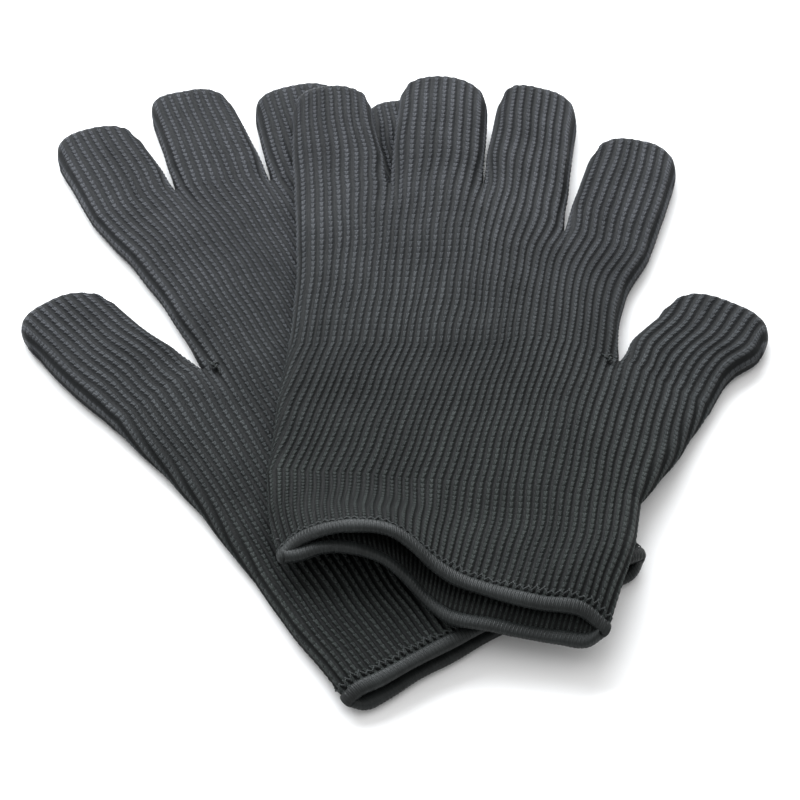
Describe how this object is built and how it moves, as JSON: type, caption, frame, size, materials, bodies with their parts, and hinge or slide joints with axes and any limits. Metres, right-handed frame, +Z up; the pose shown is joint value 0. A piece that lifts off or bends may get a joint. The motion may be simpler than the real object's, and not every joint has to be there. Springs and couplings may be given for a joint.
{
  "type": "knitted work gloves",
  "caption": "Pair of dark knitted cut-resistant work gloves, one lying across the other, with ribbed fingers, elastic cuffs and overlocked hems.",
  "frame": {"origin": "on the surface that the pair lies on, under the middle of the lower glove's palm", "axes": "+Z up from that surface, +Y away from the cuffs towards the fingertips, +X towards the upper glove's thumb"},
  "size_m": [0.2432, 0.2771, 0.0246],
  "materials": {
    "knitted_yarn": "plain ten-gauge knit of dark grey covered yarn, matt",
    "hem_thread": "black overlock thread, slight satin sheen",
    "elastic_thread": "covered elastic thread, matt"
  },
  "bodies": {
    "lower_hand": {"lower_palm": "knitted_yarn", "lower_cuff": "knitted_yarn", "lower_cuff_hem": "hem_thread", "lower_cuff_elastic": "elastic_thread", "lower_thumb_knot": "knitted_yarn"},
    "lower_little": {"lower_little": "knitted_yarn"},
    "lower_ring": {"lower_ring": "knitted_yarn"},
    "lower_middle": {"lower_middle": "knitted_yarn"},
    "lower_index": {"lower_index": "knitted_yarn"},
    "lower_thumb": {"lower_thumb": "knitted_yarn"},
    "upper_hand": {"upper_palm": "knitted_yarn", "upper_cuff": "knitted_yarn", "upper_cuff_hem": "hem_thread", "upper_cuff_elastic": "elastic_thread", "upper_thumb_knot": "knitted_yarn"},
    "upper_little": {"upper_little": "knitted_yarn"},
    "upper_ring": {"upper_ring": "knitted_yarn"},
    "upper_middle": {"upper_middle": "knitted_yarn"},
    "upper_index": {"upper_index": "knitted_yarn"},
    "upper_thumb": {"upper_thumb": "knitted_yarn"}
  },
  "joints": [
    {"name": "upper_glove_lift", "type": "slide", "parent": "lower_hand", "child": "upper_hand", "axis": [0, 0, 1], "range_m": [0, 0.1]},
    {"name": "lower_little_spread", "type": "hinge", "parent": "lower_hand", "child": "lower_little", "pos_m": [0.01763, 0.11012, 0], "axis": [0, 0, 1], "range_deg": [-10, 0]},
    {"name": "lower_ring_spread", "type": "hinge", "parent": "lower_hand", "child": "lower_ring", "pos_m": [-0.02819, 0.10472, 0], "axis": [0, 0, 1], "range_deg": [-3, 1]},
    {"name": "lower_middle_curl", "type": "hinge", "parent": "lower_hand", "child": "lower_middle", "pos_m": [-0.06061, 0.10015, 0.0086], "axis": [0.9483, 0.3173, 0], "range_deg": [0, 75]},
    {"name": "lower_index_curl", "type": "hinge", "parent": "lower_hand", "child": "lower_index", "pos_m": [-0.08884, 0.08683, 0.0086], "axis": [0.8526, 0.5225, 0], "range_deg": [0, 75]},
    {"name": "lower_thumb_curl", "type": "hinge", "parent": "lower_hand", "child": "lower_thumb", "pos_m": [-0.07634, -0.00282, 0.0086], "axis": [0.7373, 0.6756, 0], "range_deg": [0, 75]},
    {"name": "upper_little_curl", "type": "hinge", "parent": "upper_hand", "child": "upper_little", "pos_m": [-0.01841, 0.08857, 0.0182], "axis": [0.9969, 0.0785, 0], "range_deg": [0, 75]},
    {"name": "upper_ring_curl", "type": "hinge", "parent": "upper_hand", "child": "upper_ring", "pos_m": [0.01282, 0.09291, 0.0182], "axis": [0.9976, -0.0698, 0], "range_deg": [0, 75]},
    {"name": "upper_middle_curl", "type": "hinge", "parent": "upper_hand", "child": "upper_middle", "pos_m": [0.04284, 0.09059, 0.0182], "axis": [0.9925, -0.1219, 0], "range_deg": [0, 75]},
    {"name": "upper_index_curl", "type": "hinge", "parent": "upper_hand", "child": "upper_index", "pos_m": [0.0715, 0.06852, 0.0182], "axis": [0.9724, -0.2334, 0], "range_deg": [0, 75]},
    {"name": "upper_thumb_curl", "type": "hinge", "parent": "upper_hand", "child": "upper_thumb", "pos_m": [0.08475, 0.00078, 0.0182], "axis": [0.8192, -0.5736, 0], "range_deg": [0, 75]}
  ]
}
